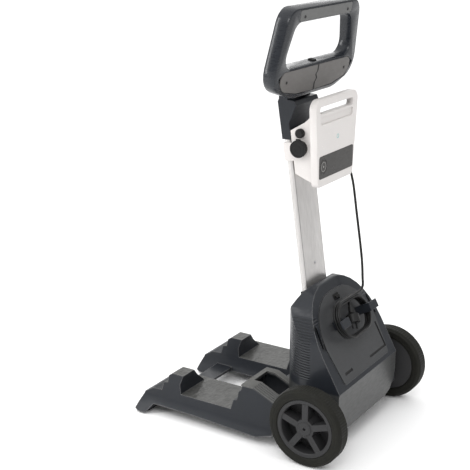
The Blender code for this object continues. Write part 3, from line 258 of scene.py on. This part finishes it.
# ---------------------------------------------------------------- materials
class Paint:
    """One procedural material, built up node by node."""

    def __init__(self, name, colour, roughness, metallic=0.0, coat=0.0, specular=0.5):
        self.material = bpy.data.materials.new(name)
        self.material.use_nodes = True
        self.tree = self.material.node_tree
        self.shader = self.tree.nodes["Principled BSDF"]
        self.shader.inputs["Metallic"].default_value = metallic
        self.shader.inputs["Coat Weight"].default_value = coat
        self.shader.inputs["Coat Roughness"].default_value = 0.12
        self.shader.inputs["Specular IOR Level"].default_value = specular
        self.shader.inputs["Base Color"].default_value = (*colour, 1.0)
        self.shader.inputs["Roughness"].default_value = roughness
        ground = self.node("RGB")
        ground.outputs[0].default_value = (*colour, 1.0)
        self.colour = ground.outputs[0]
        self.normal = None
        self.place = self.node("TexCoord").outputs["Object"]

    def node(self, kind, **values):
        made = self.tree.nodes.new("ShaderNode" + kind)
        for name, value in values.items():
            setattr(made, name, value)
        return made

    def link(self, source, target):
        self.tree.links.new(source, target)

    def math(self, operation, first, second=0.0):
        made = self.node("Math", operation=operation)
        for socket, value in zip(made.inputs, (first, second)):
            if isinstance(value, (int, float)):
                socket.default_value = value
            else:
                self.link(value, socket)
        return made.outputs[0]

    def every(self, first, *others):
        """The product of masks and shares."""
        for other in others:
            first = self.math("MULTIPLY", first, other)
        return first

    def wave(self, operation, value, pitch):
        """A sine or cosine that repeats once for each pitch of a length."""
        return self.math(operation, self.math("MULTIPLY", value, 2 * math.pi / pitch))

    def axis(self, name):
        """The place on one axis of the part."""
        apart = self.node("SeparateXYZ")
        self.link(self.place, apart.inputs[0])
        return apart.outputs[name]

    def stretched(self, scale):
        made = self.node("Mapping")
        made.inputs["Scale"].default_value = scale
        self.link(self.place, made.inputs["Vector"])
        return made.outputs[0]

    def noise(self, scale, detail=2.0, place=None):
        made = self.node("TexNoise")
        made.inputs["Scale"].default_value = scale
        made.inputs["Detail"].default_value = detail
        self.link(place or self.place, made.inputs["Vector"])
        return made.outputs["Fac"]

    def spread(self, value, low, high, start=0.3, end=0.7):
        """A value from start to end, spread to run from low to high."""
        made = self.node("MapRange")
        limits = {"From Min": start, "From Max": end, "To Min": low, "To Max": high}
        for name, number in limits.items():
            made.inputs[name].default_value = number
        self.link(value, made.inputs["Value"])
        return made.outputs["Result"]

    def mix(self, amount, other):
        """Paints another colour over this one by an amount from 0 to 1."""
        made = self.node("Mix", data_type="RGBA")
        self.link(amount, made.inputs["Factor"])
        self.link(self.colour, made.inputs["A"])
        made.inputs["B"].default_value = (*other, 1.0)
        self.colour = made.outputs["Result"]

    def between(self, axis, limits, soft):
        """1 where the place on one axis is between two limits, with soft ends."""
        low, high = limits
        value = self.axis(axis)
        if axis == "X":
            value = self.math("ABSOLUTE", value)
        up = self.spread(value, 0.0, 1.0, low - soft, low + soft)
        down = self.spread(value, 1.0, 0.0, high - soft, high + soft)
        return self.math("MULTIPLY", up, down)

    def facing_up(self, least):
        """1 where the surface looks up."""
        apart = self.node("SeparateXYZ")
        self.link(self.node("NewGeometry").outputs["Normal"], apart.inputs[0])
        return self.spread(apart.outputs["Z"], 0.0, 1.0, least - 0.05, least + 0.05)

    def rough(self, value, low, high):
        self.link(self.spread(value, low, high), self.shader.inputs["Roughness"])

    def bump(self, height, strength, distance):
        made = self.node("Bump")
        made.inputs["Strength"].default_value = strength
        made.inputs["Distance"].default_value = distance
        self.link(height, made.inputs["Height"])
        if self.normal is not None:
            self.link(self.normal, made.inputs["Normal"])
        self.normal = made.outputs["Normal"]

    def done(self):
        self.link(self.colour, self.shader.inputs["Base Color"])
        if self.normal is not None:
            self.link(self.normal, self.shader.inputs["Normal"])
        return self.material


def lighter(colour, factor):
    return tuple(min(1.0, c * factor) for c in colour)


def moulded(name, colour, roughness, coat=0.0, grain=0.10, cloudy=0.18, scuffs=0.30):
    """Moulded plastic: fine grain, cloudy colour, scuffs that change the gloss."""
    paint = Paint(name, colour, roughness, coat=coat, specular=0.22)
    cloud = paint.noise(7.0, 4.0)
    paint.mix(paint.spread(cloud, 0.0, 1.0, 0.35, 0.75), lighter(colour, 1.0 + cloudy))
    scuff = paint.noise(60.0, 6.0, paint.stretched((1.0, 1.0, 3.0)))
    paint.mix(paint.spread(scuff, 0.0, scuffs, 0.62, 0.86), lighter(colour, 1.6))
    paint.rough(scuff, roughness - 0.06, roughness + 0.08)
    paint.bump(paint.noise(1100.0, 2.0), grain, 0.0003)
    return paint


def painted_edge_highlights(paint):
    """Lightens sharp edges: a painted highlight along each of them."""
    bevel = paint.node("Bevel")
    bevel.inputs["Radius"].default_value = EDGE_HIGHLIGHT_REACH
    turn = paint.node("VectorMath", operation="DOT_PRODUCT")
    paint.link(bevel.outputs["Normal"], turn.inputs[0])
    paint.link(paint.node("NewGeometry").outputs["Normal"], turn.inputs[1])
    # painted highlight: a light grey mixed in along sharp edges
    paint.mix(paint.spread(turn.outputs["Value"], EDGE_HIGHLIGHT_SHARE, 0.0, 0.86, 0.985), EDGE_HIGHLIGHT_GREY)


def deck_paint():
    """Deck: the forks' flat tops are greyer and rippled, with painted shade in the ripples'
    hollows.
    """
    paint = moulded("deck_plastic", CHARCOAL, 0.42, coat=0.06)
    top = paint.every(paint.facing_up(0.93), paint.between("Z", DECK_TOP_UP, 0.0015),
                      paint.between("Y", DECK_TOP_ALONG, 0.002))
    paint.mix(paint.every(top, 0.9), DECK_GREY)
    ripple = paint.noise(75.0, 1.0, paint.stretched((0.55, 1.0, 1.0)))
    ripple_hollow_shade = paint.spread(ripple, 1.0, 0.0, 0.38, 0.62)
    # painted shade: the ripples' hollows on the tops are painted darker
    paint.mix(paint.every(ripple_hollow_shade, top, 0.35), lighter(DECK_GREY, 0.55))
    paint.bump(paint.every(ripple, top), 0.9, 0.0050)
    painted_edge_highlights(paint)
    return paint.done()


def cap_paint():
    """Lug cap: painted shade darkens the grooves that run down the slope at the outer side."""
    paint = moulded("cap_plastic", DECK_GREY, 0.50, grain=0.22)
    across = paint.math("SUBTRACT", paint.math("ABSOLUTE", paint.axis("X")), CAP_RIB_AT)
    groove = paint.spread(paint.wave("COSINE", across, CAP_RIB_PITCH), 0.0, 0.85, 0.0, 0.5)
    outer = paint.between("X", (CAP_RIB_AT - CAP_RIB_PITCH / 2, CAP_RIB_END), 0.0005)
    slope = paint.spread(paint.axis("Y"), 1.0, 0.0, *CAP_SLOPE_ALONG)
    # painted shade: charcoal laid into the grooves on the slope
    paint.mix(paint.every(outer, slope, groove), CHARCOAL)
    painted_edge_highlights(paint)
    return paint.done()


def hood_paint():
    """Hood: ribbed corner bands with painted shade on the ribs, a boot below painted lighter as
    floor bounce light, and painted shade in the dark slanted vents.
    """
    paint = moulded("hood_plastic", CHARCOAL, 0.34, coat=0.15)
    band = paint.every(paint.between("Z", BAND_UP, 0.003), paint.between("Y", BAND_ALONG, 0.002),
                       paint.between("X", BAND_ACROSS, 0.002))
    rib = paint.wave("SINE", paint.axis("Z"), BAND_PITCH)
    paint.bump(paint.every(rib, band), 0.9, 0.0012)
    # painted shade: the low half of each rib wave is painted darker
    paint.mix(paint.every(paint.spread(rib, 0.55, 0.0, -1.0, 0.2), band), lighter(CHARCOAL, 0.35))
    # painted light: the boot below BOOT_UP is painted lighter, as bounce light from the floor
    paint.mix(paint.every(paint.between("Z", BOOT_UP, 0.002), 0.85), BOOT_BOUNCE_LIGHT)
    painted_edge_highlights(paint)
    # painted shade: the slanted vents are painted darker than the hood
    vent_shade = paint.every(paint.between("X", VENT_ACROSS, 0.0005), paint.between("Z", VENT_UP, 0.001),
                       paint.between("Y", VENT_ALONG, 0.001))
    paint.mix(paint.every(vent_shade, 0.92), lighter(CHARCOAL, 0.4))
    return paint.done()


def cover_paint():
    """Rear cover: painted shade keeps its grooves and its edge dark."""
    paint = moulded("cover_plastic", COVER_GREY, 0.36, coat=0.10)
    out = Matrix.Rotation(REAR_TILT, 3, "X") @ Vector((0, 0, 1))
    height = paint.node("VectorMath", operation="DOT_PRODUCT")
    paint.link(paint.place, height.inputs[0])
    height.inputs[1].default_value = out
    depth = paint.math("SUBTRACT", height.outputs["Value"], out.dot(REAR_AT) + COVER_FACE)
    # painted shade: all that lies below the outer face is painted near black
    paint.mix(paint.spread(depth, 0.95, 0.0, -0.0010, -0.0004), RUBBER_BLACK)
    return paint.done()


def aluminium_paint():
    """Mast: brushed along its length, with a dark line near each corner and faint stains."""
    paint = Paint("aluminium", SILVER, 0.38, metallic=0.85)
    brush = paint.noise(240.0, 5.0, paint.stretched((1.0, 1.0, 0.02)))
    paint.mix(paint.spread(brush, 0.0, 0.5), lighter(SILVER, 0.82))
    line = paint.between("X", MAST_LINE_ACROSS, 0.0003)
    paint.mix(paint.every(line, 0.8), lighter(SILVER, 0.25))
    stain = paint.noise(5.0, 3.0)
    paint.mix(paint.spread(stain, 0.0, 0.35, 0.45, 0.8), lighter(SILVER, 1.18))
    paint.rough(brush, 0.34, 0.46)
    paint.bump(brush, 0.12, 0.0003)
    return paint.done()


def steel_paint():
    """Zinc-plated steel with turning marks."""
    paint = Paint("zinc_steel", ZINC, 0.34, metallic=1.0)
    turned = paint.noise(700.0, 3.0, paint.stretched((6.0, 1.0, 1.0)))
    paint.mix(paint.spread(turned, 0.0, 0.4), lighter(ZINC, 0.7))
    paint.rough(turned, 0.26, 0.46)
    paint.bump(turned, 0.15, 0.0002)
    return paint.done()


def tyre_paint():
    """Tyre: side grooves at set radii and a shallow tread across the face."""
    paint = Paint("tyre_rubber", TYRE_BLACK, 0.72, specular=0.2)
    y = paint.math("SUBTRACT", paint.axis("Y"), ROW_Y)
    z = paint.math("SUBTRACT", paint.axis("Z"), AXLE_UP)
    radius = paint.math("SQRT", paint.math("ADD", paint.every(y, y), paint.every(z, z)))
    groove = paint.wave("SINE", radius, TYRE_GROOVE_PITCH)
    side = paint.spread(radius, 1.0, 0.0, *TYRE_SIDE)
    paint.bump(paint.every(groove, side), 0.35, 0.0006)
    tread = paint.math("SINE", paint.every(paint.math("ARCTAN2", y, z), TYRE_LUGS))
    rim = paint.spread(radius, 0.0, 1.0, *TYRE_TREAD)
    paint.bump(paint.every(tread, rim), 0.5, 0.0008)
    dust = paint.noise(40.0, 5.0)
    paint.mix(paint.spread(dust, 0.0, 0.7, 0.45, 0.8), lighter(TYRE_BLACK, 2.0))
    paint.rough(dust, 0.64, 0.82)
    paint.bump(paint.noise(800.0, 2.0), 0.15, 0.0003)
    return paint.done()


def rubber_paint(name, colour, roughness):
    """Black rubber with a pale bloom."""
    paint = Paint(name, colour, roughness, specular=0.25)
    bloom = paint.noise(90.0, 4.0)
    paint.mix(paint.spread(bloom, 0.0, 0.8, 0.45, 0.8), lighter(colour, 2.2))
    paint.rough(bloom, roughness - 0.08, roughness + 0.1)
    paint.bump(paint.noise(1400.0, 2.0), 0.12, 0.0002)
    return paint.done()


def board_paint():
    """Circuit board with raised tracks."""
    paint = Paint("circuit_board", BOARD_GREEN, 0.4)
    track = paint.node("TexBrick")
    track.inputs["Scale"].default_value = 90.0
    paint.link(paint.place, track.inputs["Vector"])
    paint.mix(paint.every(track.outputs["Fac"], 0.8), TRACK_GOLD)
    paint.bump(track.outputs["Fac"], 0.3, 0.0002)
    return paint.done()


def winding_paint():
    """Transformer: copper wire, layer on layer, each turn with a painted highlight on its crest
    and painted shade between.
    """
    paint = Paint("winding", COPPER_DARK, 0.35, metallic=0.4)
    wire = paint.wave("SINE", paint.axis("Z"), 0.0012)
    # painted highlight and shade: lighter copper on each wire's crest, darker in between
    paint.mix(paint.spread(wire, 0.0, 0.6, -1.0, 1.0), COPPER_PAINTED_HIGHLIGHT)
    paint.bump(wire, 0.5, 0.0004)
    return paint.done()


def grip_paint():
    """Grip insert, with a coarser grain for the hands."""
    paint = moulded("grip_plastic", GRIP_GREY, 0.52, grain=0.22)
    paint.bump(paint.noise(420.0, 1.0), 0.35, 0.0005)
    return paint.done()


def make_paints():
    return {
        "white": moulded("psu_white", WHITE, 0.40, coat=0.10, grain=0.05, cloudy=0.03).done(),
        "grip": grip_paint(),
        "deck": deck_paint(),
        "hood": hood_paint(),
        "cover": cover_paint(),
        "handle": moulded("handle_plastic", CHARCOAL, 0.28, coat=0.25, grain=0.015).done(),
        "charcoal": moulded("charcoal_plastic", CHARCOAL, 0.40, coat=0.08).done(),
        "cap": cap_paint(),
        "panel_grey": moulded("panel_grey_plastic", PANEL_GREY, 0.50, grain=0.20,
                              cloudy=0.06).done(),
        "hub": moulded("hub_plastic", HUB_GREY, 0.46).done(),
        "panel": moulded("panel_plastic", PANEL_BROWN, 0.32, coat=0.05, grain=0.04,
                         cloudy=0.08, scuffs=0.05).done(),
        "tyre": tyre_paint(),
        "rubber": rubber_paint("rubber_black", RUBBER_BLACK, 0.60),
        "cord": rubber_paint("cord_jacket", RUBBER_BLACK, 0.42),
        "aluminium": aluminium_paint(),
        "steel": steel_paint(),
        "screw": rubber_paint("black_screw", SCREW_BLACK, 0.45),
        "board": board_paint(),
        "winding": winding_paint(),
        "ring": moulded("print_grey", PRINT_GREY, 0.45, grain=0.02).done(),
        "mark": moulded("print_teal", MARK_TEAL, 0.45, grain=0.02).done(),
    }


# ---------------------------------------------------------------- pieces over the frame
def show(obj, body, paint):
    bpy.context.scene.collection.objects.link(obj)
    obj.data.materials.clear()
    obj.data.materials.append(paint)
    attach(obj, body)


def refined(node, width, paint):
    """A copy of a node with welded faces and rounded edges, in the node's place."""
    mesh = NODES[node].data.copy()
    work = bmesh.new()
    work.from_mesh(mesh)
    bmesh.ops.remove_doubles(work, verts=work.verts, dist=WELD)
    bmesh.ops.dissolve_limit(work, angle_limit=FLAT_BELOW, verts=work.verts, edges=work.edges)
    for face in work.faces:
        face.smooth = True
    for edge in work.edges:
        edge.smooth = not edge.is_manifold or edge.calc_face_angle(0.0) < SMOOTH_BELOW
    work.to_mesh(mesh)
    work.free()
    obj = bpy.data.objects.new(node + "_fine", mesh)
    show(obj, NODES[node]["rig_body"], paint)
    edges = obj.modifiers.new("round_edges", "BEVEL")
    edges.width = width
    edges.segments = 2
    edges.limit_method = "ANGLE"
    edges.angle_limit = SMOOTH_BELOW
    edges.use_clamp_overlap = True
    edges.harden_normals = True
    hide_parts(node)
    return obj


def flat_ring(name, inner, outer, height, place, count=48):
    """A thin raised ring, or a disc where inner is 0, out of the plane of a matrix."""
    mesh = bpy.data.meshes.new(name)
    work = bmesh.new()
    levels = [(inner, 0.0), (outer, 0.0), (outer, height * 0.6), (outer - height * 0.4, height),
              (inner + height * 0.4 if inner else 0.0, height)]
    rings = []
    for k in range(count):
        turn = 2 * math.pi * k / count
        rings.append([work.verts.new((r * math.cos(turn), r * math.sin(turn), h))
                      for r, h in levels])
    for a, b in zip(rings, rings[1:] + rings[:1]):
        for i in range(len(levels)):
            j = (i + 1) % len(levels)
            work.faces.new((a[i], b[i], b[j], a[j]))
    bmesh.ops.remove_doubles(work, verts=work.verts, dist=0.000001)
    work.transform(place)
    bmesh.ops.recalc_face_normals(work, faces=work.faces)
    work.to_mesh(mesh)
    work.free()
    mesh.shade_smooth()
    mesh.set_sharp_from_angle(angle=math.radians(40))
    return bpy.data.objects.new(name, mesh)


# ---------------------------------------------------------------- cord
def rear_face():
    """Frame of the hood's slanted rear face at the coil: Y up the slope, Z out of it."""
    turn = Matrix.Rotation(REAR_TILT, 4, "X")
    return Matrix.Translation(REAR_AT) @ turn @ Matrix.Translation((0, COIL_CENTRE, 0))


def oval(share, reach, rise):
    """A point on an oval with round ends, a share of the way round from its top, to the left."""
    straight = reach - rise
    around = 4 * straight + 2 * math.pi * rise
    walk = (share % 1.0) * around
    if walk < straight:
        return -walk, rise
    walk -= straight
    if walk < math.pi * rise:
        turn = walk / rise
        return -straight - rise * math.sin(turn), rise * math.cos(turn)
    walk -= math.pi * rise
    if walk < 2 * straight:
        return -straight + walk, -rise
    walk -= 2 * straight
    if walk < math.pi * rise:
        turn = walk / rise
        return straight + rise * math.sin(turn), -rise * math.cos(turn)
    return straight - (walk - math.pi * rise), rise


def coil_points():
    """Turns of the coil round the hooks, in the rear face's frame, loosely wound."""
    first, last = COIL_FACE
    points = []
    for k in range(-2, COIL_TURNS * COIL_STEPS - 3):
        turn = k / COIL_STEPS
        lane = COIL_LANE * (0.5 - 0.5 * math.cos(math.pi * turn))
        slack = COIL_SLACK * math.sin(5.1 * turn) - COIL_SLACK
        x, y = oval(turn, COIL_REACH - lane + slack, COIL_RISE - lane * 0.9 + slack)
        out = first + (last - first) * max(0.0, turn) / COIL_TURNS
        points.append(Vector((x, y, out + COIL_WOBBLE * math.sin(9.0 * turn))))
    return points


def smooth(points, steps):
    """Points on a Catmull-Rom curve through the given ones."""
    ends = [points[0] * 2 - points[1], *points, points[-1] * 2 - points[-2]]
    line = []
    for a, b, c, d in zip(ends, ends[1:], ends[2:], ends[3:]):
        for k in range(steps):
            t = k / steps
            line.append(0.5 * (2 * b + (c - a) * t + (2 * a - 5 * b + 4 * c - d) * t * t
                               + (3 * b - a - 3 * c + d) * t ** 3))
    return line + [points[-1]]


def make_cord(paint):
    face = rear_face()
    lead = [Vector((x, y + ROW_Y, z)) for x, y, z in LEAD]
    wound = [face @ p for p in coil_points()]
    tail = [face @ Vector(p) for p in PLUG_TAIL]
    line = smooth(lead + wound + tail, 4)
    curve = bpy.data.curves.new("mains_cord", "CURVE")
    curve.dimensions = "3D"
    curve.bevel_depth = CORD_THICK / 2
    curve.bevel_resolution = 4
    curve.use_fill_caps = True
    spline = curve.splines.new("POLY")
    spline.points.add(len(line) - 1)
    for point, place in zip(spline.points, line):
        point.co = (*place, 1.0)
    spline.use_smooth = True
    cord = bpy.data.objects.new("mains_cord", curve)
    show(cord, "frame", paint)
    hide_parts("cord_lead", "cord_coil")


# ---------------------------------------------------------------- small details
def make_seam_shade(paint):
    """Painted shade: a dark ribbon over the gap along the zigzag joint between the handle's two
    rear panels.
    """
    left = NODES["handle_panel_left"]
    tilt = Matrix.Rotation(math.pi / 2 + HANDLE_LEAN, 4, "X")
    flat = tilt.inverted()
    shared = [flat @ v.co for v in left.data.vertices if v.co.x > SEAM_FROM]
    top = max(p.z for p in shared)
    edge = sorted({(round(p.y, 4), round(p.x, 4)) for p in shared if p.z > top - SEAM_RISE})
    mesh = bpy.data.meshes.new("panel_seam_shade")
    work = bmesh.new()
    rows = []
    for up, across in edge:
        rows.append([work.verts.new((across + side * SEAM_WIDTH / 2, up, top + SEAM_RISE))
                     for side in (-1, 1)])
    for a, b in zip(rows, rows[1:]):
        work.faces.new((a[0], a[1], b[1], b[0]))
    work.transform(tilt)
    work.to_mesh(mesh)
    work.free()
    show(bpy.data.objects.new("panel_seam_shade", mesh), "handle", paint)


def make_prints(paints):
    """The ring and dot on the power button, and the plain mark above the dark panel."""
    backwards = Matrix.Rotation(math.pi / 2, 4, "X")
    low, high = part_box("power_button")
    middle = (low + high) / 2
    front = Matrix.Translation((middle.x, low.y, middle.z)) @ backwards
    ring = flat_ring("button_ring", *BUTTON_RING, PRINT_RISE, front)
    show(ring, "power_button", paints["ring"])
    dot = flat_ring("button_dot", 0.0, BUTTON_DOT, PRINT_RISE, front, 20)
    show(dot, "power_button", paints["ring"])

    low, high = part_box("psu_front_shell")
    at = Matrix.Translation((MARK_ACROSS, low.y, low.z + MARK_UP)) @ backwards
    mark = flat_ring("front_mark", *MARK_RING, PRINT_RISE, at)
    show(mark, "frame", paints["mark"])


def make_cap_rims(paint):
    """Two raised rims on the rubber cap of the robot's socket."""
    low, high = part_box("socket_cap")
    at = Matrix.Translation((low.x, (low.y + high.y) / 2, low.z + CAP_MIDDLE_UP)) \
        @ Matrix.Rotation(-math.pi / 2, 4, "Y")
    for k, radius in enumerate(CAP_RIMS):
        rim = flat_ring(f"cap_rim_{k}", radius - CAP_RIM_WIDTH, radius, CAP_RIM_RISE, at)
        show(rim, "socket_cap", paint)


def main():
    make_camera()
    paints = make_paints()
    for node, obj in NODES.items():
        paint = paints[PAINT_OF_NODE.get(node, PAINT_OF_SLOT[SLOT_OF[node]])]
        obj.data.materials.clear()
        obj.data.materials.append(paint)
        if node in ROUND:
            refined(node, ROUND[node], paint)
    make_cord(paints["cord"])
    make_seam_shade(paints["rubber"])
    make_prints(paints)
    make_cap_rims(paints["rubber"])
    make_sky()
    for light in LIGHTS:
        area_light(*light)
    make_floor()
    bpy.context.scene.view_settings.view_transform = "Standard"


main()
